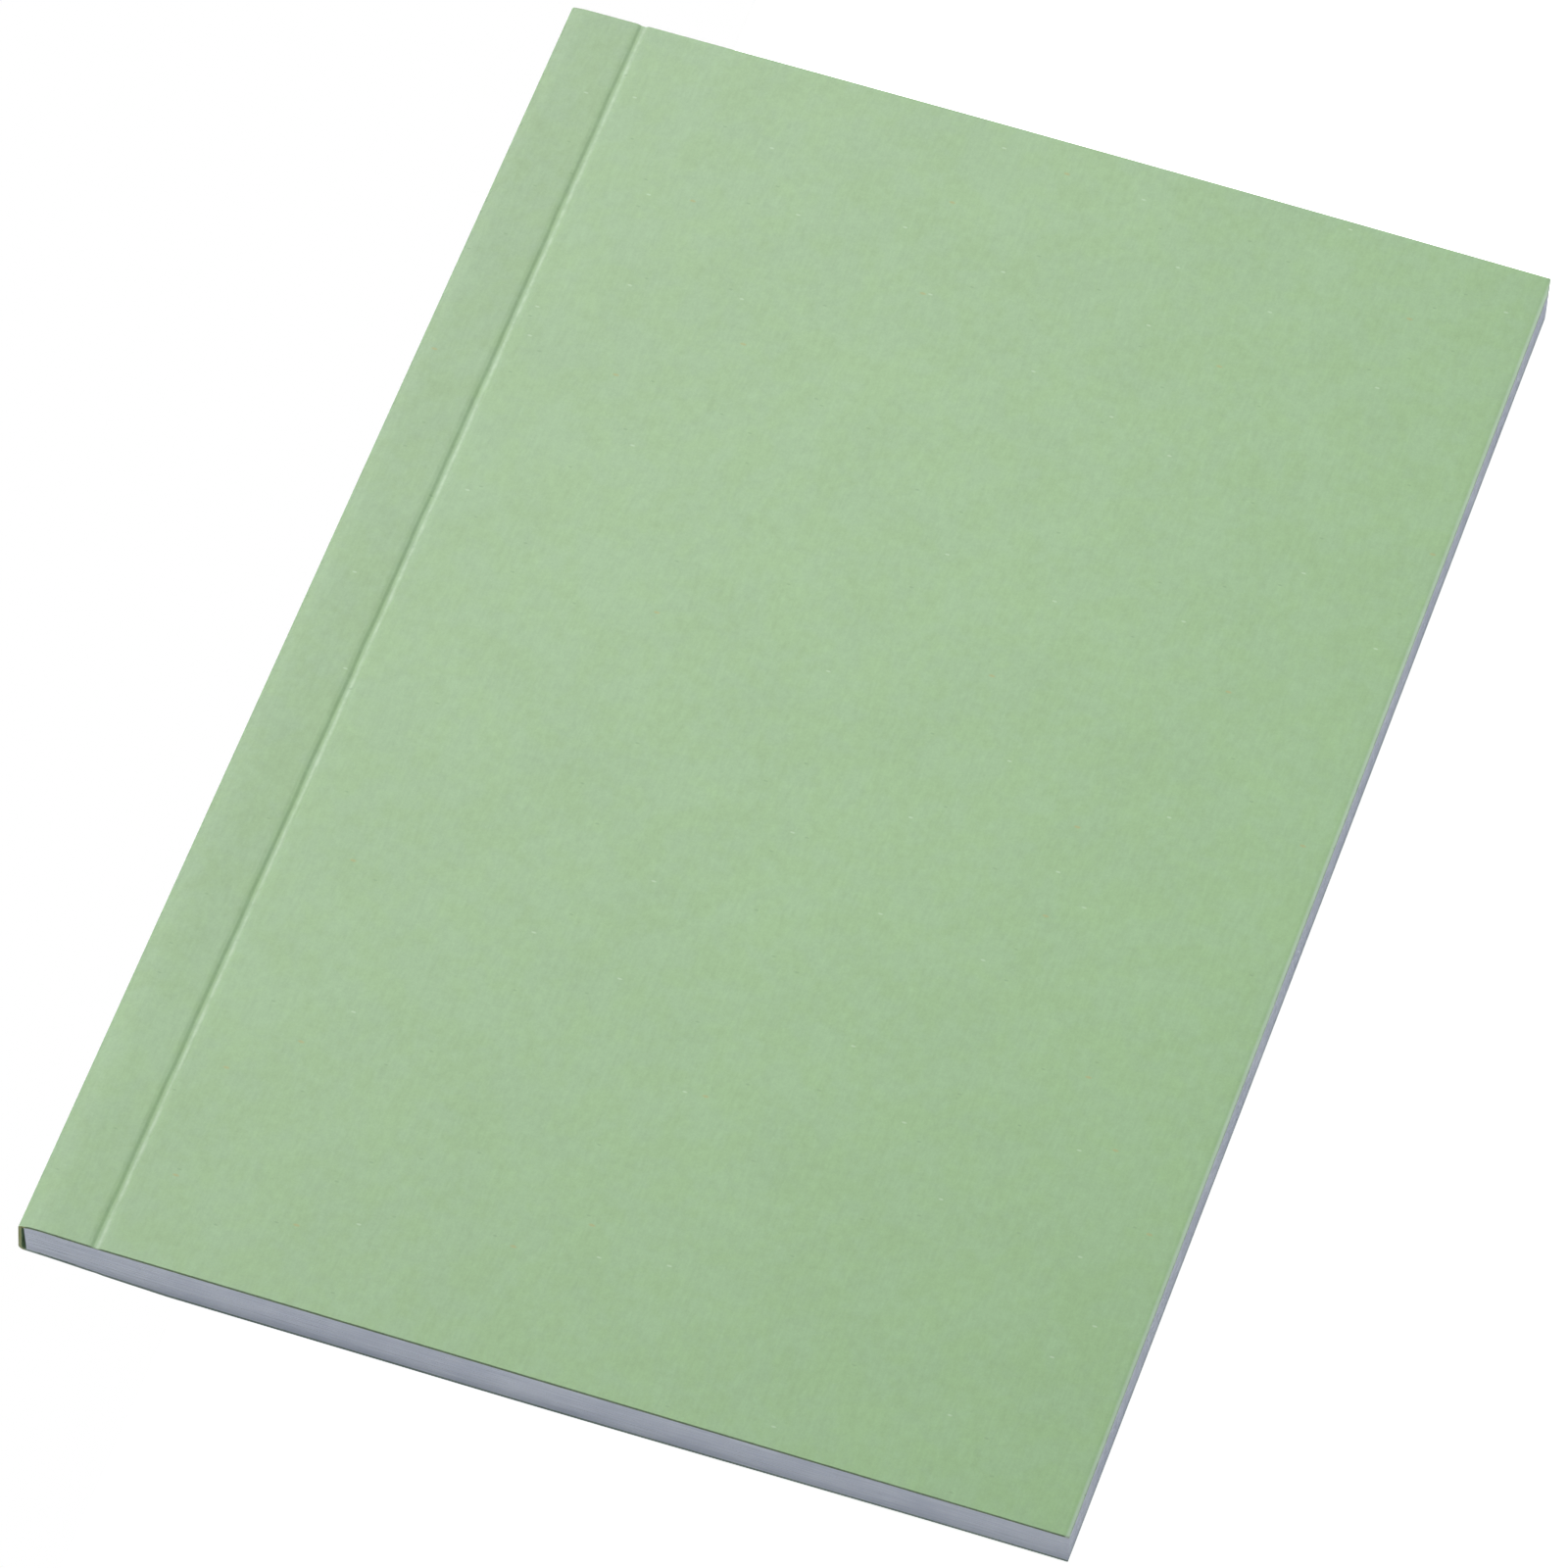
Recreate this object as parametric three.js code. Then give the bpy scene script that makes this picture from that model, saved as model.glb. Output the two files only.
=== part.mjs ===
// Softcover notebook: one folded sheet of card round a block of loose leaves, glued along the spine.
// It lies closed on its back cover, in millimetres, with the origin at the centre of its underside.
// +X runs from the spine to the fore edge, +Y from the tail to the head and +Z up through the leaves.
import * as THREE from "three";

// Driving dimensions
const notebookWidth = 135;
const notebookLength = 210;
const leafCount = 48;
const leafThickness = 0.11;
const cardThickness = 0.4;

// The hinge crease: a score pressed along both covers, which they and the leaves turn about
const creaseFromSpine = 10;
const creaseHalfWidth = 0.7;
const creaseDepth = 0.14;
// Hairline between a cover panel and the card on the spine, so that their edges clear as it swings
const creaseRelief = 0.016;

// The card's folds at the spine
const foldInnerRadius = 0.4;
const foldSegments = 6;

// The glue
const spineGlueThickness = 0.5;
const sideGlueThickness = 0.06;
const sideGlueWidth = 5;
const sideGlueToCrease = 2.5;
const sideGlueEndInset = 3;

// The soft edge that the trimming knife leaves on the card at the fore edge
const trimRadius = 0.12;
const trimSegments = 2;

// Levels and lines that follow from them
const blockThickness = leafCount * leafThickness;
const notebookThickness = blockThickness + 2 * cardThickness;
const blockBottom = cardThickness;
const blockTop = cardThickness + blockThickness;
const spineFace = -notebookWidth / 2;
const foreEdge = notebookWidth / 2;
const creaseLine = spineFace + creaseFromSpine;
const insideOfSpine = spineFace + cardThickness;
const edgeOfMargin = insideOfSpine + spineGlueThickness;
const foldOuterRadius = foldInnerRadius + cardThickness;
const sideGlueEnd = creaseLine - sideGlueToCrease;
const sideGlueStart = sideGlueEnd - sideGlueWidth;

const cardFinish = { color: 0xa6c39b, roughness: 0.92, metalness: 0 };
const paperFinish = { color: 0xe9ecf0, roughness: 0.95, metalness: 0 };
const glueFinish = { color: 0xe6dfc6, roughness: 0.45, metalness: 0 };

const notebook = new THREE.Group();

// A mesh of its own material, added to the notebook under its name
function addPiece(name, geometry, finish) {
  const mesh = new THREE.Mesh(geometry, new THREE.MeshStandardMaterial(finish));
  mesh.name = name;
  notebook.add(mesh);
  return mesh;
}

// An outline across the notebook (x, z), carried from tail to head
function alongSpine(outline, length) {
  const geometry = new THREE.ExtrudeGeometry(outline, {
    depth: length,
    bevelEnabled: false,
    curveSegments: foldSegments,
  });
  geometry.rotateX(Math.PI / 2);
  geometry.translate(0, length / 2, 0);
  return geometry;
}

// The same outline turned over, for the piece on the back of the notebook
function turnedOver(outlinePoints) {
  return outlinePoints.map((point) => new THREE.Vector2(point.x, notebookThickness - point.y));
}

// Points of a quarter circle about a centre, from one angle to another
function arcPoints(centreX, centreZ, radius, startAngle, endAngle, segments) {
  const points = [];
  for (let step = 0; step <= segments; step++) {
    const angle = startAngle + ((endAngle - startAngle) * step) / segments;
    points.push(new THREE.Vector2(centreX + radius * Math.cos(angle), centreZ + radius * Math.sin(angle)));
  }
  return points;
}

// One flank of the pressed crease, from the flat card down to the hinge line, or back if side is 1
function creaseFlank(side) {
  const points = [];
  for (let step = 1; step <= foldSegments; step++) {
    const share = step / foldSegments;
    const drop = (creaseDepth * (1 - Math.cos(Math.PI * share))) / 2;
    points.push(new THREE.Vector2(creaseLine + side * creaseHalfWidth * (1 - share), notebookThickness - drop));
  }
  return side === 1 ? points.reverse() : points;
}

// A cover panel: the part of the card that opens, from the crease to the fore edge
function coverPanelOutline() {
  const hingeEdge = creaseLine + creaseRelief;
  const trimCentreX = foreEdge - trimRadius;
  const trimCentreZ = notebookThickness - trimRadius;
  return [
    new THREE.Vector2(hingeEdge, blockTop),
    new THREE.Vector2(hingeEdge, notebookThickness - creaseDepth),
    ...creaseFlank(1).slice(1),
    new THREE.Vector2(creaseLine + creaseHalfWidth, notebookThickness),
    ...arcPoints(trimCentreX, trimCentreZ, trimRadius, Math.PI / 2, 0, trimSegments),
    new THREE.Vector2(foreEdge, blockTop),
  ];
}

// The card that stays on the spine: the spine panel and both hinge strips, folded round the block
function coverSpineOutline() {
  const foldCentreX = spineFace + foldOuterRadius;
  const upperCentreZ = notebookThickness - foldOuterRadius;
  const quarter = Math.PI / 2;
  const outside = [
    ...arcPoints(foldCentreX, upperCentreZ, foldOuterRadius, 2 * quarter, quarter, foldSegments),
    new THREE.Vector2(creaseLine - creaseHalfWidth, notebookThickness),
    ...creaseFlank(-1),
  ];
  const inside = [
    new THREE.Vector2(creaseLine, blockTop),
    ...arcPoints(foldCentreX, upperCentreZ, foldInnerRadius, quarter, 2 * quarter, foldSegments),
  ];
  return [...outside, ...inside, ...turnedOver(inside).reverse(), ...turnedOver(outside).reverse()];
}

// The edge of all the sheets that the glue holds still, from the spine glue to the crease
function boundMarginOutline() {
  const roundCentreX = edgeOfMargin + foldInnerRadius;
  const roundCentreZ = blockTop - foldInnerRadius;
  const seat = blockTop - sideGlueThickness;
  const upperSide = [
    ...arcPoints(roundCentreX, roundCentreZ, foldInnerRadius, Math.PI, Math.PI / 2, foldSegments),
    new THREE.Vector2(sideGlueStart, blockTop),
    new THREE.Vector2(sideGlueStart, seat),
    new THREE.Vector2(sideGlueEnd, seat),
    new THREE.Vector2(sideGlueEnd, blockTop),
    new THREE.Vector2(creaseLine, blockTop),
  ];
  return [...upperSide, ...turnedOver(upperSide).reverse()];
}

// A flat rectangle across the notebook, between two lines and two levels
function rectangle(left, right, bottom, top) {
  return [
    new THREE.Vector2(left, bottom),
    new THREE.Vector2(right, bottom),
    new THREE.Vector2(right, top),
    new THREE.Vector2(left, top),
  ];
}

function addCover() {
  const panel = coverPanelOutline();
  addPiece("front_cover", alongSpine(new THREE.Shape(panel), notebookLength), cardFinish);
  addPiece("back_cover", alongSpine(new THREE.Shape(turnedOver(panel)), notebookLength), cardFinish);
  addPiece("cover_spine", alongSpine(new THREE.Shape(coverSpineOutline()), notebookLength), cardFinish);
}

function addGlue() {
  const film = rectangle(insideOfSpine, edgeOfMargin, blockBottom + foldInnerRadius, blockTop - foldInnerRadius);
  addPiece("spine_glue", alongSpine(new THREE.Shape(film), notebookLength), glueFinish);
  const strip = rectangle(sideGlueStart, sideGlueEnd, blockTop - sideGlueThickness, blockTop);
  const stripLength = notebookLength - 2 * sideGlueEndInset;
  addPiece("front_side_glue", alongSpine(new THREE.Shape(strip), stripLength), glueFinish);
  addPiece("back_side_glue", alongSpine(new THREE.Shape(turnedOver(strip)), stripLength), glueFinish);
}

// The leaves from the crease to the fore edge, numbered from the front cover down
function addLeaves() {
  addPiece("bound_margin", alongSpine(new THREE.Shape(boundMarginOutline()), notebookLength), paperFinish);
  const leafWidth = foreEdge - creaseLine;
  for (let number = 1; number <= leafCount; number++) {
    const sheet = new THREE.BoxGeometry(leafWidth, notebookLength, leafThickness);
    const leaf = addPiece("leaf_" + String(number).padStart(2, "0"), sheet, paperFinish);
    leaf.position.set(creaseLine + leafWidth / 2, 0, blockTop - (number - 0.5) * leafThickness);
  }
}

addCover();
addGlue();
addLeaves();

export default notebook;
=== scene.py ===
# %% [markdown]
# A closed softcover notebook
# The notebook is one sheet of light green recycled card, folded round 48 loose sheets of
# writing paper and glued to them along the spine. The construction model gives the exact
# size, the hinge lines and the joints. This script gives every piece the form and finish that
# the real ones have: a pressed crease, a block that swells a little, card with fibres in it.
# Everything is in metres, in the construction model's own frame: +X runs from the spine to
# the fore edge, +Y from the tail to the head and +Z up through the leaves.

# %% Load the construction model
import math

import bpy
import numpy as np
from mathutils import Matrix, Vector


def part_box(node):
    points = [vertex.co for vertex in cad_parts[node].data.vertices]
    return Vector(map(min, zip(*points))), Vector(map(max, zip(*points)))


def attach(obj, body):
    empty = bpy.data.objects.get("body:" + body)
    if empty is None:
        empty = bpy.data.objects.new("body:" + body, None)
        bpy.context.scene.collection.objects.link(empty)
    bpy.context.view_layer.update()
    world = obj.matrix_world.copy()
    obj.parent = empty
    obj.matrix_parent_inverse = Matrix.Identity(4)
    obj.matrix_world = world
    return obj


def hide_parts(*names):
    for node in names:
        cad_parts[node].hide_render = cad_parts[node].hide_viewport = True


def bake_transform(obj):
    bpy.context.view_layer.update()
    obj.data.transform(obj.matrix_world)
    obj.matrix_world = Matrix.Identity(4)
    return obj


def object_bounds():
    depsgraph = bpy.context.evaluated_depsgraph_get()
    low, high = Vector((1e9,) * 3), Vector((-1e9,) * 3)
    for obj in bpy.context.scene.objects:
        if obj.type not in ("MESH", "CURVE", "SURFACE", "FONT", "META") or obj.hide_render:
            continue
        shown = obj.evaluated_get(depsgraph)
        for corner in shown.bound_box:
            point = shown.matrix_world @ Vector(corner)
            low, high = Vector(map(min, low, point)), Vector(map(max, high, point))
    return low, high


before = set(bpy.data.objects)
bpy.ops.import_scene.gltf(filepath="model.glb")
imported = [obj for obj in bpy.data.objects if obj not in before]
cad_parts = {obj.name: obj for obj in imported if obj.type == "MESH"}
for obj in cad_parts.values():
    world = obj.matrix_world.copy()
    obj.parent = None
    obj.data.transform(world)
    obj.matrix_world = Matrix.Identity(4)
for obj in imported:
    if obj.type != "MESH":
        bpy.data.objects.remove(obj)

MM = 0.001
cad_low, cad_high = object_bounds()
print("construction box, mm:", [round(side / MM, 2) for side in cad_high - cad_low])

# %% [markdown]
# Sizes that every piece shares
# No size is typed in twice. The script asks the construction model for the boxes of its
# nodes, and takes from them the spine's face, the crease line, the card's thickness and the
# level of each leaf. A change in the model then moves the looks with it.

# %% Read the sizes from the nodes
_, panel_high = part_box("front_cover")
first_leaf_low, first_leaf_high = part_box("leaf_01")
margin_low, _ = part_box("bound_margin")
spine_glue_low, spine_glue_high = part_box("spine_glue")
leaf_names = sorted(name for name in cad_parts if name.startswith("leaf_"))

SPINE, FORE = cad_low.x, cad_high.x
TAIL, HEAD = cad_low.y, cad_high.y
TOP = cad_high.z
WIDTH, LENGTH = FORE - SPINE, HEAD - TAIL
CREASE = first_leaf_low.x
CARD = panel_high.z - first_leaf_high.z
MARGIN = margin_low.x
print("crease from spine:", round((CREASE - SPINE) / MM, 2), "mm, card:", round(CARD / MM, 3),
      "mm, leaves:", len(leaf_names))

# %% [markdown]
# The camera
# The photograph was taken with a long lens from high up and a little to the right of the
# notebook, so its far edges are almost as long as its near ones. The place of the camera was
# worked out from the four corners of the cover. It is written as a photographer would say it:
# how far round, how high, how far away, aimed where, and how much the camera was tilted.

# %% Place the camera
camera_azimuth = math.radians(15.24)
camera_elevation = math.radians(52.61)
camera_roll = math.radians(3.88)
camera_distance = 1.5932
camera_aim = Vector((-0.64 * MM, -8.39 * MM, TOP))
camera_lens = 290.16
photo_side = 1600

sideways = math.cos(camera_elevation)
towards_camera = Vector((math.sin(camera_azimuth) * sideways, -math.cos(camera_azimuth) * sideways,
                         math.sin(camera_elevation)))
camera_data = bpy.data.cameras.new("product_camera")
camera_data.lens = camera_lens
camera = bpy.data.objects.new("product_camera", camera_data)
bpy.context.scene.collection.objects.link(camera)
straight = (-towards_camera).to_track_quat("-Z", "Y").to_matrix()
turned = straight @ Matrix.Rotation(camera_roll, 3, "Z")
camera.matrix_world = Matrix.LocRotScale(camera_aim + towards_camera * camera_distance, turned, None)
camera_data.clip_start = 0.05
camera_data.clip_end = 50
bpy.context.scene.camera = camera
pixels_per_mm = camera_lens / camera_data.sensor_width * photo_side / camera_distance * MM
print("one millimetre at the aim is", round(pixels_per_mm, 2), "pixels of the photograph")

# %% [markdown]
# The floor and the white ground
# The photograph is a cut-out on pure white. A pale floor takes the light and the faint contact
# shadow. Its material and the world turn white only where the camera sees them, directly or
# mirrored in a gloss. The soft light that they throw on the notebook stays dim.
# The notebook keeps its spine still when it opens, so its back cover and back leaves turn
# down past the level of the floor. The floor is therefore laid in two parts that meet under
# the gutter. The part on the spine's side still throws light back, but the camera looks
# through it and the lamps shine through it. Both parts are clear from below. So nothing that
# swings down there is hidden, and no light is caught between the floor and a cover that has
# turned under it.

# %% Build the floor and the world
white_lift = 0.88
floor_half_side = 4.0
gutter_bend = 11 * MM
floor_seam = CREASE + gutter_bend
floor_tone = (0.86, 0.86, 0.86, 1)
world_tone = (0.90, 0.95, 1.0, 1)
world_strength = 0.27
seen_rays = ("Is Camera Ray", "Is Glossy Ray", "Is Transmission Ray")


def seen_times(tree, strength):
    """The strength for a ray that sees the white or mirrors it, and nothing for soft light."""
    path = tree.nodes.new("ShaderNodeLightPath")
    total = None
    for ray in seen_rays:
        share = tree.nodes.new("ShaderNodeMath")
        share.operation = "MULTIPLY_ADD"
        share.inputs[1].default_value = strength
        tree.links.new(path.outputs[ray], share.inputs[0])
        if total:
            tree.links.new(total, share.inputs[2])
        else:
            share.inputs[2].default_value = 0
        total = share.outputs[0]
    return total


def floor_material():
    """Matt and softly lit from above, clear from below."""
    material = bpy.data.materials.new("studio_floor")
    material.use_nodes = True
    tree = material.node_tree
    tree.nodes.clear()
    matt = tree.nodes.new("ShaderNodeBsdfDiffuse")
    matt.inputs["Color"].default_value = floor_tone
    glow = tree.nodes.new("ShaderNodeEmission")
    both = tree.nodes.new("ShaderNodeAddShader")
    side = tree.nodes.new("ShaderNodeNewGeometry")
    clear = tree.nodes.new("ShaderNodeBsdfTransparent")
    upper_side_only = tree.nodes.new("ShaderNodeMixShader")
    output = tree.nodes.new("ShaderNodeOutputMaterial")
    tree.links.new(seen_times(tree, white_lift), glow.inputs["Strength"])
    tree.links.new(matt.outputs[0], both.inputs[0])
    tree.links.new(glow.outputs[0], both.inputs[1])
    tree.links.new(side.outputs["Backfacing"], upper_side_only.inputs[0])
    tree.links.new(both.outputs[0], upper_side_only.inputs[1])
    tree.links.new(clear.outputs[0], upper_side_only.inputs[2])
    tree.links.new(upper_side_only.outputs[0], output.inputs["Surface"])
    return material


def lay_floor(name, left, right, material):
    mesh = bpy.data.meshes.new(name)
    near, far = -floor_half_side, floor_half_side
    corners = [(left, near, 0), (right, near, 0), (right, far, 0), (left, far, 0)]
    mesh.from_pydata(corners, [], [(0, 1, 2, 3)])
    mesh.materials.append(material)
    floor = bpy.data.objects.new(name, mesh)
    bpy.context.scene.collection.objects.link(floor)
    return floor


def build_world():
    world = bpy.data.worlds.new("white_studio")
    bpy.context.scene.world = world
    world.use_nodes = True
    tree = world.node_tree
    tree.nodes.clear()
    dim = tree.nodes.new("ShaderNodeBackground")
    dim.inputs["Color"].default_value = world_tone
    dim.inputs["Strength"].default_value = world_strength
    white = tree.nodes.new("ShaderNodeBackground")
    choose = tree.nodes.new("ShaderNodeMixShader")
    output = tree.nodes.new("ShaderNodeOutputWorld")
    white.inputs["Color"].default_value = (1, 1, 1, 1)
    tree.links.new(seen_times(tree, 1), choose.inputs[0])
    tree.links.new(dim.outputs[0], choose.inputs[1])
    tree.links.new(white.outputs[0], choose.inputs[2])
    tree.links.new(choose.outputs[0], output.inputs["Surface"])


studio_floor = floor_material()
lay_floor("floor_under_notebook", floor_seam, floor_half_side, studio_floor)
open_side = lay_floor("floor_beside_spine", -floor_half_side, floor_seam, studio_floor)
open_side.visible_camera = False
open_side.visible_shadow = False
build_world()
bpy.context.scene.view_settings.view_transform = "Standard"
print("floor parts meet", round((floor_seam - SPINE) / MM, 1), "mm from the spine")

# %% [markdown]
# The light
# The cover is evenly bright from the middle to the spine and grows darker towards the near
# corner, and the tail edge of the block is in shade. A soft box behind the spine's head corner
# does that once it has a grid: the grid narrows its beam, so that the light falls off across
# the cover and not only with distance. A weak second lamp, low on the other side and without a
# grid, keeps the fore edge from going dull.

# %% Hang the lamps
def hang_lamp(name, place, aim, side, beam, power, tone):
    data = bpy.data.lights.new(name, "AREA")
    data.size = side
    data.spread = math.radians(beam)
    data.energy = power
    data.color = tone
    lamp = bpy.data.objects.new(name, data)
    lamp.location = place
    lamp.rotation_euler = (Vector(aim) - Vector(place)).to_track_quat("-Z", "Y").to_euler()
    bpy.context.scene.collection.objects.link(lamp)
    print(name, "hangs", round(Vector(place).length, 2), "m away")


hang_lamp("window_lamp", place=(-0.375, 0.360, 0.621), aim=(-0.095, 0.082, 0), side=0.6, beam=40,
          power=1.06, tone=(1.0, 0.99, 0.97))
hang_lamp("side_lamp", place=(1.2, -0.15, 0.26), aim=(0, 0, 0), side=0.5, beam=180,
          power=0.95, tone=(0.92, 0.98, 1.0))

# %% [markdown]
# Shader maths written as Python
# A material is a graph of small sums. Written node by node it is hard to read, so a Wire
# wraps one socket and lets it stand in a Python expression, and a Recipe is one material
# that adds any node by its kind, its settings and what goes into its sockets.

# %% A socket that does sums, and a material that adds nodes
class Wire:
    def __init__(self, recipe, node, socket=0):
        self.recipe, self.made = recipe, node
        self.socket = node.outputs[socket] if len(node.outputs) else None

    def output(self, name):
        return Wire(self.recipe, self.made, name)

    def math(self, operation, *values):
        return self.recipe.node("Math", {"operation": operation}, dict(enumerate(values)))

    def __add__(self, other):
        return self.math("ADD", self, other)

    def __radd__(self, other):
        return self.math("ADD", other, self)

    def __sub__(self, other):
        return self.math("SUBTRACT", self, other)

    def __rsub__(self, other):
        return self.math("SUBTRACT", other, self)

    def __mul__(self, other):
        return self.math("MULTIPLY", self, other)

    def __rmul__(self, other):
        return self.math("MULTIPLY", other, self)

    def __gt__(self, other):
        return self.math("GREATER_THAN", self, other)


class Recipe:
    def __init__(self, name):
        self.material = bpy.data.materials.new(name)
        self.material.use_nodes = True
        self.tree = self.material.node_tree
        self.tree.nodes.clear()
        self.place = self.node("TexCoord", {}, {}).output("Object")

    def node(self, kind, settings, sockets):
        made = self.tree.nodes.new("ShaderNode" + kind)
        for name, value in settings.items():
            setattr(made, name, value)
        for name, value in sockets.items():
            if isinstance(value, Wire):
                self.tree.links.new(value.socket, made.inputs[name])
            else:
                made.inputs[name].default_value = value
        return Wire(self, made)

    def stretched(self, along_x, along_y, along_z):
        scale = {0: self.place, 1: (along_x, along_y, along_z)}
        return self.node("VectorMath", {"operation": "MULTIPLY"}, scale)

    def noise(self, size, detail=2.0, roughness=0.5, where=None):
        sockets = {"Vector": where or self.place, "Scale": 1 / size, "Detail": detail, "Roughness": roughness}
        return self.node("TexNoise", {}, sockets)

    def mix(self, mask, first, second):
        return self.node("Mix", {"data_type": "RGBA"}, {0: mask, 6: first, 7: second}).output(2)

    def brighter(self, colour, amount):
        return self.node("VectorMath", {"operation": "SCALE"}, {0: colour, "Scale": amount})

    def tinted(self, colour, tint):
        return self.node("VectorMath", {"operation": "MULTIPLY"}, {0: colour, 1: tint})

    def fade(self, value, low, high):
        settings = {"interpolation_type": "SMOOTHSTEP"}
        return self.node("MapRange", settings, {"Value": value, "From Min": low, "From Max": high})

    def surface(self, sockets, height, bump_strength, bump_depth):
        bump = {"Height": height, "Strength": bump_strength, "Distance": bump_depth}
        sockets["Normal"] = self.node("Bump", {}, bump)
        shader = self.node("BsdfPrincipled", {}, sockets)
        self.node("OutputMaterial", {}, {"Surface": shader})
        return self.material


def from_screen(red, green, blue):
    linear = [((part / 255 + 0.055) / 1.055) ** 2.4 for part in (red, green, blue)]
    return (*linear, 1.0)

# %% [markdown]
# The path of the crease
# The crease is pressed a hair outside the hinge line and is not quite straight: it bows out in
# the middle of the notebook and drifts in towards the head. One short sum says where it runs.
# It serves twice, on numbers for the mesh and on sockets for the worn line and painted highlight in the
# material.

# %% Say where the crease runs
crease_offset = 0.21 * MM
crease_belly = 0.11 * MM
crease_bow = 0.24 * MM


def crease_path(share):
    """The crease's place across the notebook, at a share of the way from the tail to the head."""
    return CREASE + crease_offset + 4 * crease_belly * share * (1 - share) - crease_bow * share * share


print("crease at the tail, middle and head, mm from the spine:",
      [round((crease_path(share) - SPINE) / MM, 2) for share in (0, 0.5, 1)])

# %% [markdown]
# Recycled card
# The cover is matt card of recycled pulp, dyed green all through. Close to, its colour is
# cloudy: patches of a yellower and a bluer green a few millimetres across, clouds and patches
# of light and dark, finer flocks of fibre, faint streaks along the grain of the sheet, a
# speckle as fine as the fibres, and here and there a stray fleck. Noise textures of those
# sizes tint the colour a little, and the flocks and the grain also raise the surface.
# Use has marked the card too, and a painted sheen lies on it. The sheen makes the green greyer
# on the side of the spine and the head, and leaves it purer towards the fore edge. The strip
# beside the spine is a touch darker, except near the tail. The cut at the fore edge is scuffed
# pale by thumbs and carries a painted highlight along its rounded edge, and the ridge of the
# crease has patches of wear and a painted highlight.

# %% Make the card's face
card_yellower = from_screen(146, 178, 132.4)
card_bluer = from_screen(146, 177, 136.6)
sheen_free_tint = (0.952, 1.0, 0.922, 1.0)
painted_sheen_tint = (1.064, 1.0, 1.092, 1.0)
scuffed_and_lit_edge = from_screen(184, 204, 186)
worn_and_lit_crease = from_screen(200, 218, 196)
straw_fleck = from_screen(170, 158, 104)
dark_fleck = from_screen(118, 146, 112)
pale_fleck = from_screen(206, 222, 198)

darkest_tone = 0.62
strip_darker = 0.058
strip_edge = 1.2 * MM
strip_start, strip_full = 0.10, 0.35
scuff_and_highlight_reach = 0.42 * MM
worn_and_lit_rise = (-0.28 * MM, 0.08 * MM)
worn_and_lit_fall = (0.12 * MM, 0.62 * MM)


def flecks(recipe, cell, radius, share, turn):
    """A mask of a few soft flecks: one cell in every few has one near its middle."""
    squeezed = {"Vector": recipe.place, "Rotation": (0, 0, turn), "Scale": (1.0, 2.2, 1.0)}
    where = recipe.node("Mapping", {}, squeezed)
    sockets = {"Vector": where, "Scale": 1 / cell, "Randomness": 1.0}
    cells = recipe.node("TexVoronoi", {"voronoi_dimensions": "2D"}, sockets)
    chance = recipe.node("SeparateColor", {}, {0: cells.output("Color")})
    near = 1 - recipe.fade(cells.output("Distance"), 0.4 * radius / cell, radius / cell)
    return near * (chance > (1 - share))


def dyed_pulp_and_sheen(card, x, along, flock, grain):
    """The even colour of the card, with its patches, a painted sheen towards the spine and the head, and its
    darker strip.
    """
    patches = card.fade(card.noise(4.5 * MM, 3.0, 0.6), 0.35, 0.65)
    cloud = card.noise(38 * MM, 2.0, 0.5)
    patch = card.noise(9 * MM, 4.0, 0.6)
    speckle = card.noise(0.22 * MM, 1.0, 0.5)
    tone = darkest_tone + 0.06 * cloud + 0.13 * patch + 0.28 * flock + 0.17 * grain + 0.12 * speckle
    # The strip between the spine and the crease is a touch darker, fading in away from the tail.
    on_strip = 1 - card.fade(x, CREASE - strip_edge, CREASE)
    tone = tone - strip_darker * (on_strip * card.fade(along, strip_start, strip_full))
    across = (x - SPINE) * (1 / WIDTH)
    # Painted sheen: a tint that greys the green towards the spine and the head and keeps it purer towards the
    # fore edge.
    painted_sheen_mix = card.mix((2 * (1 - across) + along) * (1 / 3), sheen_free_tint, painted_sheen_tint)
    return card.tinted(card.brighter(card.mix(patches, card_yellower, card_bluer), tone), painted_sheen_mix)


def worn_and_lit_line(card, x, along):
    """A mask of the crease's ridge, where the card is rubbed in patches and a painted highlight lies along
    it.
    """
    from_crease = x - crease_path(along)
    line = card.fade(from_crease, *worn_and_lit_rise) * (1 - card.fade(from_crease, *worn_and_lit_fall))
    in_patches = card.fade(card.noise(2.2 * MM, 3.0, 0.7), 0.30, 0.70)
    return line * (0.14 + 0.36 * in_patches)


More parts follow.
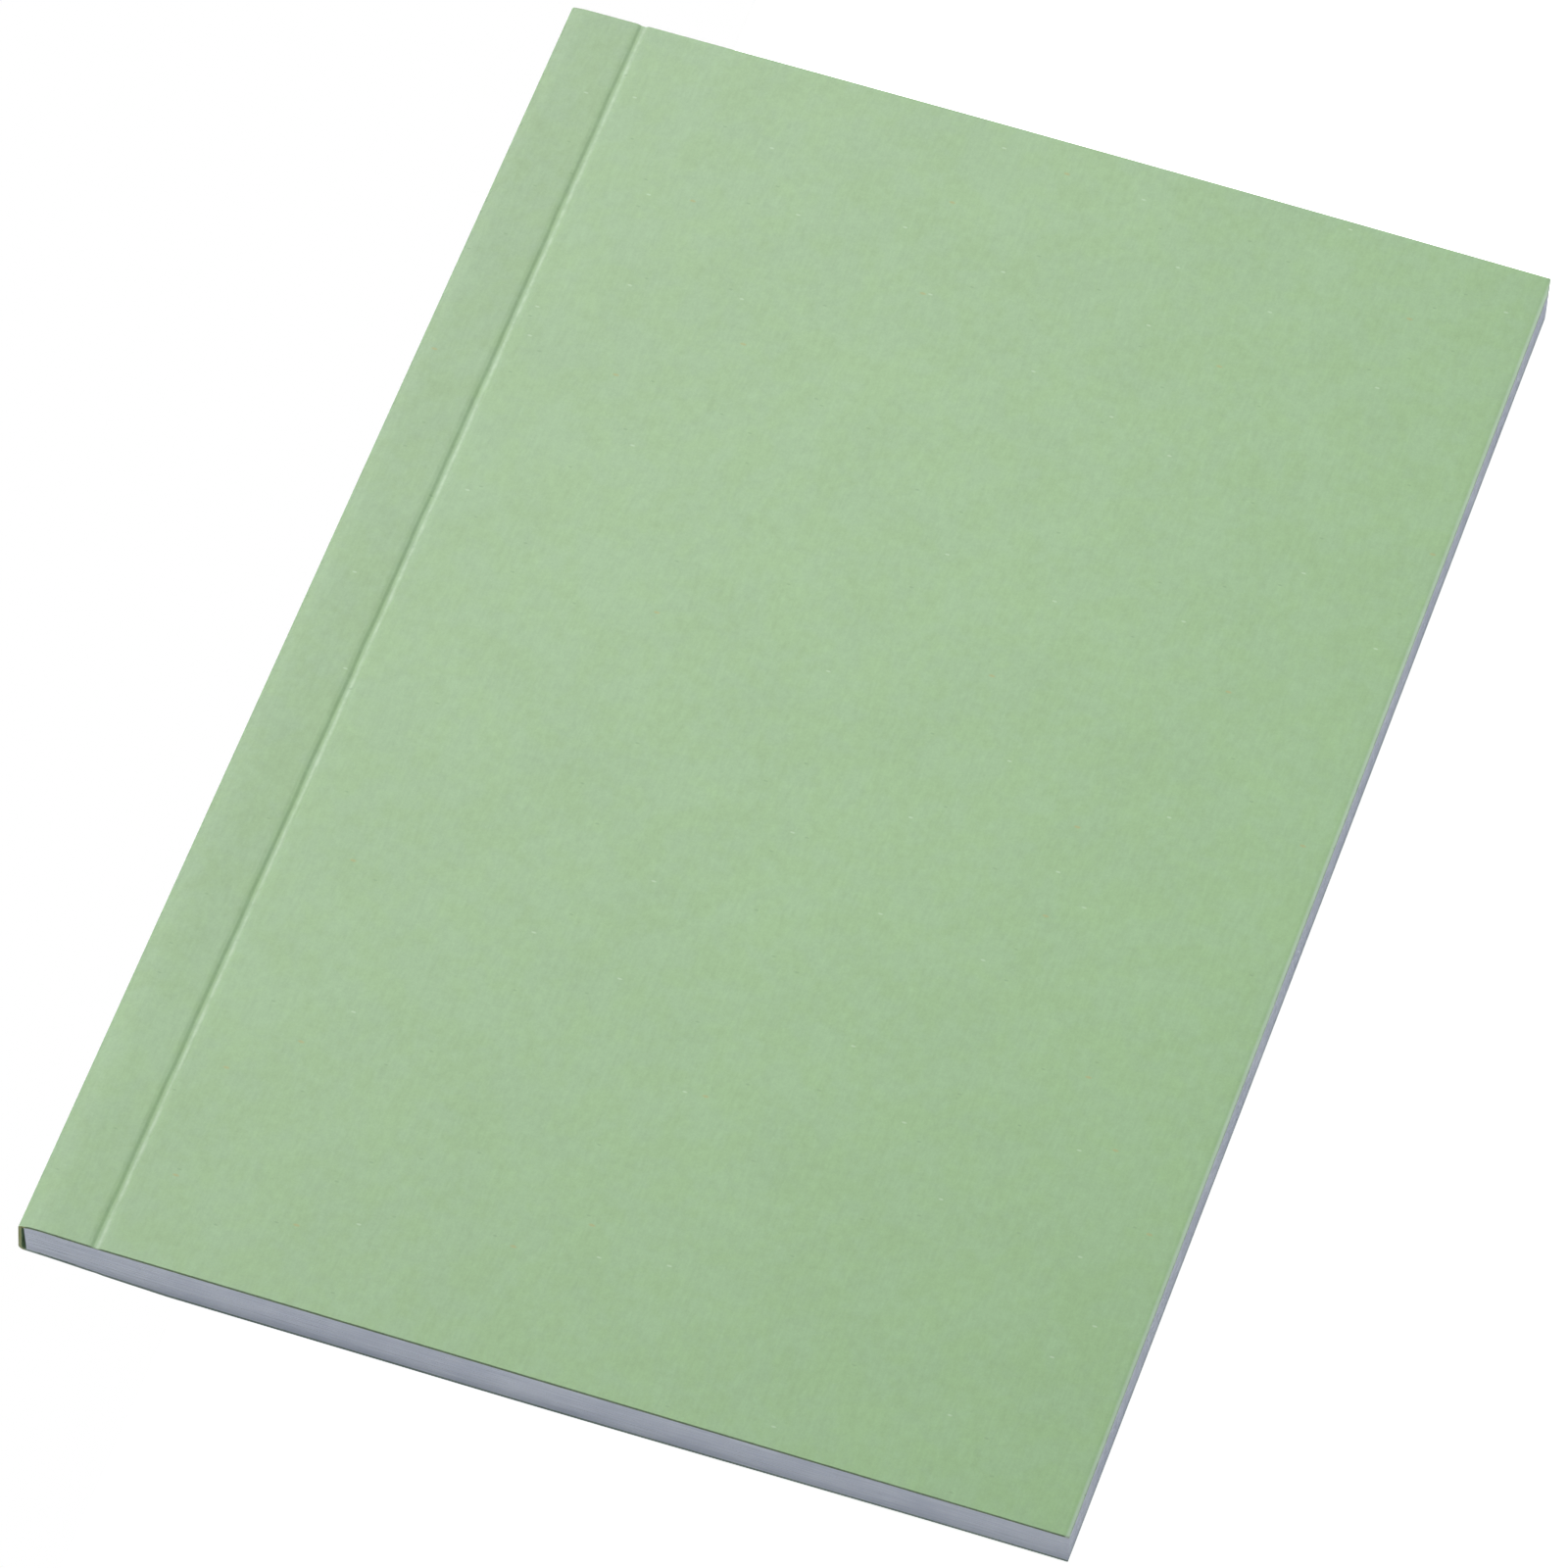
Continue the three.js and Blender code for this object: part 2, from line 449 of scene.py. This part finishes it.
def card_face():
    card = Recipe("recycled_card")
    x = card.node("SeparateXYZ", {}, {0: card.place})
    along = (x.output("Y") - TAIL) * (1 / LENGTH)
    flock = card.noise(1.3 * MM, 4.0, 0.65)
    grain = card.noise(0.55 * MM, 2.0, 0.6, card.stretched(1.0, 0.16, 1.0))
    colour = dyed_pulp_and_sheen(card, x, along, flock, grain)
    # The last fraction of a millimetre at the fore edge is scuffed pale and carries a painted highlight along
    # its rounded edge.
    edge_scuff_and_highlight = 1 - card.fade(FORE - x, 0, scuff_and_highlight_reach)
    colour = card.mix(edge_scuff_and_highlight * (0.45 + 0.4 * grain), colour, scuffed_and_lit_edge)
    # Painted highlight, with real wear, in patches along the ridge of the crease.
    colour = card.mix(worn_and_lit_line(card, x, along), colour, worn_and_lit_crease)
    straw = flecks(card, cell=17 * MM, radius=0.55 * MM, share=0.13, turn=0.5)
    dark = flecks(card, cell=9 * MM, radius=0.38 * MM, share=0.16, turn=2.1)
    pale = flecks(card, cell=11 * MM, radius=0.42 * MM, share=0.12, turn=1.2)
    colour = card.mix(straw * 0.55, colour, straw_fleck)
    colour = card.mix(dark * 0.45, colour, dark_fleck)
    colour = card.mix(pale * 0.35, colour, pale_fleck)
    sockets = {"Base Color": colour, "Roughness": 0.50 + 0.08 * flock, "Specular IOR Level": 0.45}
    return card.surface(sockets, 0.7 * flock + 0.3 * grain, 0.55, 0.03 * MM)

# %% [markdown]
# The card's cut edge
# Where the knife went through, the card shows its core: coarser, a little more olive, and
# without the calendered skin. Its colour is darkened as well with painted shade, for the
# narrow gap between the card and the paper. It is a material of its own on the narrow faces.
# Thumbs have rubbed it pale along the fore edge of the front cover, glue has soaked into it
# and yellowed it next to the spine, and the back cover's edge is painted paler and greyer, as
# painted light that lifts the shade where it meets the floor.

# %% Make the card's cut edge
card_core_with_shade = from_screen(134, 154, 122)
card_core_dark_with_shade = from_screen(108, 127, 102)
worn_core = from_screen(206, 220, 204)
glued_core = from_screen(168, 172, 120)
back_core_painted_light = from_screen(172, 188, 186)
thumbed_zone = (FORE - 0.5 * MM, FORE - 0.2 * MM)
soaked_zone = (SPINE + 0.5 * MM, SPINE + 1.2 * MM)


def card_edge():
    edge = Recipe("card_cut_edge")
    fibre = edge.noise(0.35 * MM, 3.0, 0.6, edge.stretched(1.0, 1.0, 3.0))
    # The core's two colours are darkened with painted shade for the gap between card and paper.
    colour = edge.mix(edge.fade(fibre, 0.3, 0.7), card_core_dark_with_shade, card_core_with_shade)
    x = edge.node("SeparateXYZ", {}, {0: edge.place})
    front = x.output("Z") > TOP / 2
    thumbed = edge.fade(x, *thumbed_zone) * front
    soaked = 1 - edge.fade(x, *soaked_zone)
    # Painted light: the back cover's edge is made paler and greyer to lift the shade where it meets the
    # floor.
    colour = edge.mix((1 - front) * 0.65, colour, back_core_painted_light)
    colour = edge.mix(soaked * 0.8, colour, glued_core)
    colour = edge.mix(thumbed * 0.85, colour, worn_core)
    sockets = {"Base Color": colour, "Roughness": 0.94, "Specular IOR Level": 0.2}
    return edge.surface(sockets, fibre, 0.5, 0.03 * MM)

# %% [markdown]
# Writing paper
# The sheets are uncoated white paper with a cool cast. Its face has a very faint cloudiness
# where the pulp lies thicker, and a fine tooth. The trimmed edge of the block is the same
# paper seen end on: greyer, because light sinks in between the sheets, with fine lines that
# run along them.

# %% Make the paper's face and its trimmed edge
paper_white = from_screen(236, 238, 242)
paper_thick = from_screen(229, 232, 238)
edge_light = from_screen(236, 241, 252)
edge_dark = from_screen(215, 221, 236)


def paper_face():
    paper = Recipe("writing_paper")
    cloud = paper.noise(3.2 * MM, 3.0, 0.6)
    tooth = paper.noise(0.3 * MM, 2.0, 0.6)
    colour = paper.mix(paper.fade(cloud, 0.3, 0.7), paper_white, paper_thick)
    sockets = {"Base Color": colour, "Roughness": 0.90 + 0.06 * tooth, "Specular IOR Level": 0.25}
    return paper.surface(sockets, tooth, 0.3, 0.01 * MM)


def paper_edge():
    edge = Recipe("trimmed_paper")
    lines = edge.noise(0.16 * MM, 2.0, 0.6, edge.stretched(0.02, 0.02, 1.0))
    patch = edge.noise(9 * MM, 2.0, 0.5)
    mask = edge.fade(0.6 * lines + 0.4 * patch, 0.35, 0.65)
    colour = edge.mix(mask, edge_dark, edge_light)
    sockets = {"Base Color": colour, "Roughness": 0.95, "Specular IOR Level": 0.2}
    return edge.surface(sockets, lines, 0.3, 0.02 * MM)

# %% [markdown]
# Binding glue
# Hot-melt glue holds the sheets to the spine. It is a waxy, slightly yellow plastic, and only
# a trace of it can be seen at the head and the tail, deep between the card and the sheets.

# %% Make the glue
glue_clear = from_screen(196, 186, 150)
glue_milky = from_screen(214, 206, 176)


def binding_glue():
    glue = Recipe("binding_glue")
    cloud = glue.noise(1.5 * MM, 2.0, 0.5)
    ripple = glue.noise(2.4 * MM, 1.0, 0.5)
    sockets = {"Base Color": glue.mix(cloud, glue_clear, glue_milky), "Roughness": 0.35 + 0.2 * ripple}
    return glue.surface(sockets, ripple, 0.4, 0.05 * MM)


finishes = {"card": card_face(), "card edge": card_edge(), "paper": paper_face(),
            "paper edge": paper_edge(), "glue": binding_glue()}
print("finishes made:", ", ".join(sorted(finishes)))

# %% [markdown]
# The form of the closed notebook
# A stack of paper is never a perfect box. The photograph shows the block thickest a few
# centimetres from the spine and thinner at both edges, where the back cover lifts off the
# table. The front cover crowns slightly towards the head, has a soft shoulder beside the fold
# and a low ridge near it at the tail. The spine swells out a hair towards the head. The fore
# edge reaches past the construction model's by a fifth of a millimetre, and a little more
# at the bottom near the tail, and its corner at the head is blunted by use.
# Every piece is first laid out flat, at the construction model's own levels, and one function
# then settles all of them alike, so that the sheets stay nested and no piece runs through
# another.

# %% Settle flat points into the real form
tail_sag = 0.08 * MM
head_corner_sag = 0.25 * MM
head_crown = 0.40 * MM
fold_shoulder_start = 0.35 * MM
fold_shoulder_width = 1.2 * MM
fold_shoulder_drop = 0.18 * MM
tail_ridge = 0.155 * MM
tail_ridge_rise = 3 * MM
tail_ridge_fall = 7 * MM
spine_lift = 0.95 * MM
spine_lift_reach = 0.15
fore_lift = 0.66 * MM
fore_lift_start, fore_lift_reach = 0.45, 0.5
head_lift_share = 0.5
spine_swell = 0.18 * MM
spine_swell_reach = 2.0 * MM
fore_edge_reach = 0.19 * MM
fore_edge_lean = 0.15 * MM
fore_edge_start, fore_edge_width = 0.8, 0.2
worn_corner_cut = 0.36 * MM
worn_corner_reach = 2.4 * MM
worn_corner_width = 3 * MM


def smooth(share):
    share = np.clip(share, 0, 1)
    return share * share * (3 - 2 * share)


def cover_height(x, across, along):
    """How high the outer face of the front cover lies."""
    crown = head_crown * 4 * across * (1 - across)
    high = TOP - tail_sag + along**2 * (crown - head_corner_sag)
    shoulder = 1 - smooth((x - SPINE - fold_shoulder_start) / fold_shoulder_width)
    rise = smooth((x - SPINE) / tail_ridge_rise)
    fall = smooth((x - SPINE - tail_ridge_rise) / tail_ridge_fall)
    return high - fold_shoulder_drop * shoulder + tail_ridge * rise * (1 - fall) * (1 - along)**2


def back_height(across, along):
    """How far the back cover's outer face is lifted off the table."""
    beside_spine = spine_lift * (1 - smooth(across / spine_lift_reach))
    beside_fore_edge = fore_lift * smooth((across - fore_lift_start) / fore_lift_reach)
    return (beside_spine + beside_fore_edge) * (1 - (1 - head_lift_share) * along)


def settle(points):
    """Flat points, with z from 0 to TOP, moved to where the settled notebook has them."""
    x, y, z = np.asarray(points, float).T
    across, along, height = (x - SPINE) / WIDTH, (y - TAIL) / LENGTH, z / TOP
    high, low = cover_height(x, across, along), back_height(across, along)
    near_head = np.clip(1 - (HEAD - y) / worn_corner_reach, 0, 1)
    worn = worn_corner_cut * near_head * smooth(1 - (FORE - x) / worn_corner_width)
    lean = fore_edge_lean * (1 - height) * (1 - smooth(2 * along - 1))
    outward = (fore_edge_reach + lean) * smooth((across - fore_edge_start) / fore_edge_width)
    swell = spine_swell * along**2 * (1 - smooth((x - SPINE) / spine_swell_reach))
    return np.column_stack([x + outward - swell - worn, y, low + height * (high - low)])


corner_heights = settle([(x, y, z) for x in (SPINE, FORE) for y in (TAIL, HEAD) for z in (0, TOP)])[:, 2]
corner_thickness = (corner_heights[1::2] - corner_heights[0::2]) / MM
print("thickness at the corners, mm:", np.round(corner_thickness, 2).tolist())

# %% [markdown]
# Sheets as closed meshes
# Card and paper are both thin sheets, so one builder makes both. It takes pairs of points
# across the sheet, one on each face, and carries them along a list of lines from the tail to
# the head. The faces get one material and the cut edges another.

# %% Build a sheet from its two faces
knife_angle = math.radians(35)


def sheet_mesh(name, face_a, face_b, lines, shape, face_finish, edge_finish):
    """face_a and face_b are (x, z) points across the sheet; shape moves the flat points."""
    across, count = len(face_a), len(lines)
    flat = [(x, y, z) for face in (face_a, face_b) for y in lines for x, z in face]
    mesh = bpy.data.meshes.new(name)
    side_b = across * count
    faces = []
    for row in range(count - 1):
        for column in range(across - 1):
            corner = row * across + column
            quad = (corner, corner + 1, corner + across + 1, corner + across)
            faces.append(quad)
            faces.append(tuple(side_b + index for index in reversed(quad)))
    face_count = len(faces)
    for column in range(across - 1):
        for corner, flip in ((column, False), ((count - 1) * across + column, True)):
            quad = (corner, side_b + corner, side_b + corner + 1, corner + 1)
            faces.append(quad[::-1] if flip else quad)
    for row in range(count - 1):
        for corner, flip in ((row * across, True), (row * across + across - 1, False)):
            quad = (corner, side_b + corner, side_b + corner + across, corner + across)
            faces.append(quad[::-1] if flip else quad)
    mesh.from_pydata(shape(flat).tolist(), [], faces)
    mesh.materials.append(finishes[face_finish])
    mesh.materials.append(finishes[edge_finish])
    mesh.polygons.foreach_set("material_index", [int(index >= face_count) for index in range(len(faces))])
    mesh.polygons.foreach_set("use_smooth", [True] * len(faces))
    mesh.set_sharp_from_angle(angle=knife_angle)
    piece = bpy.data.objects.new(name, mesh)
    bpy.context.scene.collection.objects.link(piece)
    return piece


def spaced(start, end, step):
    return np.linspace(start, end, max(2, round(abs(end - start) / step) + 1))

# %% [markdown]
# The hinge crease
# A blunt rule pressed a groove into both covers so that they fold there and nowhere else.
# The groove starts with a soft shoulder almost a millimetre and a half on the spine's side of
# its middle, drops down a steep wall, and rises slowly on the other side. It wanders a little,
# is pressed less deep at the head and the tail, and is only a quarter as deep on the back. It
# is pressed into the mesh itself, because it catches the light: its spine side falls into
# shade and its far side shines.

# %% Press the crease
crease_depth = 0.31 * MM
crease_end_share = 0.8
back_crease_share = 0.25
crease_wander = 0.05 * MM
crease_zone = 1.4 * MM
shoulder_start, shoulder_width = -1.45 * MM, 1.05 * MM
wall_start, wall_width = -0.90 * MM, 0.57 * MM
steep_start, steep_width = 0.02 * MM, 0.55 * MM
slow_width = 1.1 * MM


def crease_profile(offset):
    """Depth of the groove at an offset from its middle: a soft shoulder, a steep wall, a long rise."""
    shoulder = smooth((offset - shoulder_start) / shoulder_width)
    wall = smooth((offset - wall_start) / wall_width)
    rise = 1 - 0.7 * smooth((offset - steep_start) / steep_width) - 0.3 * smooth(offset / slow_width)
    return crease_depth * (0.4 * shoulder + 0.6 * wall) * rise


def press_crease(flat):
    """Lowers the outer faces of the card along the wandering crease, on both covers."""
    points = np.array(flat, float)
    x, y, z = points.T
    along = y / MM
    wander = crease_wander * (np.sin(along / 3.1) + np.sin(along / 1.7 + 1.3)) / 2
    share = (y - TAIL) / LENGTH
    pressed = crease_end_share + (1 - crease_end_share) * 4 * share * (1 - share)
    drop = pressed * crease_profile(x - crease_path(share) - wander)
    lifted = z + back_crease_share * drop
    points[:, 2] = np.where(z > TOP - CARD / 4, z - drop, np.where(z < CARD / 4, lifted, z))
    return settle(points)

# %% [markdown]
# The cover panels
# Each cover panel is the flat part of the card that swings open. It keeps the exact outline
# of its node in the construction model, and gains the pressed groove, the settled form and
# an edge that the knife has rounded by a tenth of a millimetre. Its first two hundredths of a
# millimetre are a narrow band of columns at the crease.
# A cover can fold back by exactly half a turn, and a half turn has two ways round.

# %% Cut the front and back cover panels
trim_round = 0.16 * MM
bend_width = 0.02 * MM
bend_columns = 9
groove_step = 0.08 * MM
head_corner_lines = (HEAD - worn_corner_reach, HEAD - worn_corner_reach / 2, HEAD)
lines = (*spaced(TAIL, HEAD - worn_corner_reach, 1.5 * MM)[:-1], *head_corner_lines)
far_columns = (*spaced(CREASE + crease_zone, FORE - 3 * MM, 8 * MM)[1:], FORE - 2 * MM, FORE - 1 * MM)


def panel_stations():
    bend = np.linspace(CREASE, CREASE + bend_width, bend_columns)
    groove = spaced(CREASE + bend_width, CREASE + crease_zone, groove_step)[1:]
    outer = [(x, TOP) for x in (*bend, *groove, *far_columns, FORE - trim_round)]
    outer.append((FORE - 0.3 * trim_round, TOP - 0.3 * trim_round))
    outer.append((FORE, TOP - trim_round))
    inner = [(x, TOP - CARD) for x, _ in outer]
    return np.array(outer), np.array(inner)


def turned_over(face):
    return np.array([(x, TOP - z) for x, z in face])


def card_panel(name, upper, lower, node, level):
    panel = sheet_mesh(name, upper, lower, lines, press_crease, "card", "card edge")
    if level == TOP:
        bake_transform(panel)
    else:
        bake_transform(panel)
    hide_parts(node)
    print(name, "has", len(panel.data.vertices), "points")


outer, inner = panel_stations()
card_panel("front_cover_panel", outer, inner, "front_cover", TOP)
card_panel("back_cover_panel", turned_over(inner), turned_over(outer), "back_cover", 0)

# %% [markdown]
# The card round the spine
# From one crease to the other the same card is folded twice round the block. The folds are
# tight, because the card was scored for them, and their outside catches a band of light. The
# section is walked once from the front crease, round both folds, to the back crease.

# %% Fold the card round the spine
front_fold_radius = 0.44 * MM
back_fold_radius = 0.80 * MM
fold_steps = 8


def folded_half(radius):
    """The outside and the inside of the card, from the crease over the fold to half the spine."""
    zone_edge = CREASE - crease_zone
    groove = spaced(CREASE - bend_width, zone_edge, groove_step)
    flat = spaced(zone_edge, SPINE + radius, 0.4 * MM)[1:]
    outside = [(x, TOP) for x in (*groove, *flat)]
    inside = [(x, TOP - CARD) for x in (*groove, *flat)]
    for step in range(1, fold_steps + 1):
        angle = math.pi / 2 * (1 + step / fold_steps)
        for reach, points in ((radius, outside), (radius - CARD, inside)):
            points.append((SPINE + radius + reach * math.cos(angle), TOP - radius + reach * math.sin(angle)))
    for z in spaced(TOP - radius, TOP / 2, 0.6 * MM)[1:]:
        outside.append((SPINE, z))
        inside.append((SPINE + CARD, z))
    return outside, inside


front_half = folded_half(front_fold_radius)
back_half = folded_half(back_fold_radius)
outside, inside = (np.array(front + [(x, TOP - z) for x, z in reversed(back[:-1])])
                   for front, back in zip(front_half, back_half))
spine_card = sheet_mesh("spine_card", inside, outside, lines, press_crease, "card", "card edge")
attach(spine_card, "spine")
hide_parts("cover_spine")
print("spine card:", len(outside), "points across")

# %% [markdown]
# The bend at each crease
# A band of card only two hundredths of a millimetre wide joins the strip on the spine to the
# leaf's hinge line, at the front crease and at the back one.

# %% Join the strips to the panels
bend_start = CREASE - bend_width
band = np.linspace(bend_start, CREASE, bend_columns)
band_top = np.array([(x, TOP) for x in band])
band_under = np.array([(x, TOP - CARD) for x in band])
for name, upper, lower, leaf, level in (
        ("front_crease_bend", band_top, band_under, leaf_names[0], TOP),
        ("back_crease_bend", turned_over(band_under), turned_over(band_top), leaf_names[-1], 0)):
    bend = sheet_mesh(name, upper, lower, lines, press_crease, "card", "card edge")
    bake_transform(bend)
    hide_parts("cover_spine")
    print(name, "fans out from", round(bend_width / MM, 3), "mm")

# %% [markdown]
# The sheets
# All 48 sheets run from the spine glue to the fore edge. In the construction model the
# part that the glue holds still is one solid, and each leaf starts at the crease. Here every
# sheet is whole, from its bound margin through the gutter to the fore edge, with closer
# columns through the gutter. The knife left their edges flush to within
# a few hundredths of a millimetre, so each gets its own small random offset.

# %% Lay the sheets
glue_gap = 0.20 * MM
spine_side_lean = 0.36 * MM
edge_scatter = 0.035 * MM
sheet_fullness = 0.94
scatter = np.random.default_rng(48)
side_glue_low, side_glue_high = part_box("front_side_glue")
glue_film = side_glue_high.z - side_glue_low.z
seat_step = 0.05 * MM


def spine_edge(level):
    """Where the sheets end at the spine: the block leans a little, further in at the back."""
    return MARGIN - glue_gap + spine_side_lean * (1 - level / TOP)


def glue_seat(x):
    """How far the paper is pressed back under the side glue."""
    return glue_film * float(side_glue_low.x - seat_step / 2 < x < side_glue_high.x + seat_step / 2)


def sheet_columns(middle, fore):
    """Places across a sheet: the bound edge, the bend in the gutter and the free part."""
    bound = (*spaced(spine_edge(middle), side_glue_low.x - seat_step, 1 * MM),
             side_glue_low.x, side_glue_high.x, side_glue_high.x + seat_step, CREASE)
    turning = spaced(CREASE, CREASE + gutter_bend, 0.8 * MM)[1:]
    free = (*spaced(CREASE + gutter_bend, FORE - 3 * MM, 8 * MM)[1:], FORE - 1.5 * MM, fore)
    return (*bound, *turning, *free)


def lay_sheet(name):
    low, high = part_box(name)
    middle, half = (low.z + high.z) / 2, (high.z - low.z) / 2 * sheet_fullness
    fore = FORE - scatter.uniform(0, 1) * edge_scatter
    tail = TAIL + scatter.uniform(0, 1) * edge_scatter
    head = HEAD - scatter.uniform(0, 1) * edge_scatter
    across = sheet_columns(middle, fore)
    first, last = name == leaf_names[0], name == leaf_names[-1]
    upper = np.array([(x, middle + half - first * glue_seat(x)) for x in across])
    lower = np.array([(x, middle - half + last * glue_seat(x)) for x in across])
    rows = (*spaced(tail, HEAD - worn_corner_reach, 17 * MM), HEAD - worn_corner_reach / 2, head)
    sheet = sheet_mesh("sheet_" + name[-2:], upper, lower, rows, settle, "paper", "paper edge")
    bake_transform(sheet)
    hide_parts(name, "bound_margin")
    return sheet


sheets = [lay_sheet(name) for name in leaf_names]
print("sheets:", len(sheets), "of", len(sheets[0].data.vertices), "points each")

# %% [markdown]
# The glue
# One film of glue fills the space between the card and the sheets along the spine, and a thin
# strip on the first and the last sheet holds the card down beside the crease. The binder's
# nozzle stops short of the ends, so that from the tail there is only a dark slot to be seen
# between the card and the block. The films follow the settled form like everything else.

# %% Run the glue
slot_depth = 1.8 * MM
film_clearance = 0.005 * MM
strip_clearance = 0.002 * MM
strip_fullness = 0.9


def run_glue(name, side_a, side_b, end_low, end_high):
    rows = spaced(end_low, end_high, 10 * MM)
    film = sheet_mesh(name + "_film", side_a, side_b, rows, settle, "glue", "glue")
    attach(film, "spine")
    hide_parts(name)
    print(name, "film:", round((end_high - end_low) / MM, 1), "mm long")


levels = spaced(spine_glue_low.z + 0.1 * MM, spine_glue_high.z - 0.1 * MM, 0.8 * MM)
card_side = np.array([(SPINE + CARD + film_clearance, z) for z in levels])
sheet_side = np.array([(spine_edge(z) - film_clearance, z) for z in levels])
run_glue("spine_glue", card_side, sheet_side, TAIL + slot_depth, HEAD - slot_depth)
columns = spaced(side_glue_low.x, side_glue_high.x, 1 * MM)
top_side = np.array([(x, TOP - CARD - strip_clearance) for x in columns])
under_side = np.array([(x, TOP - CARD - strip_fullness * glue_film) for x in columns])
run_glue("front_side_glue", top_side, under_side, side_glue_low.y, side_glue_high.y)
run_glue("back_side_glue", turned_over(under_side), turned_over(top_side), side_glue_low.y, side_glue_high.y)
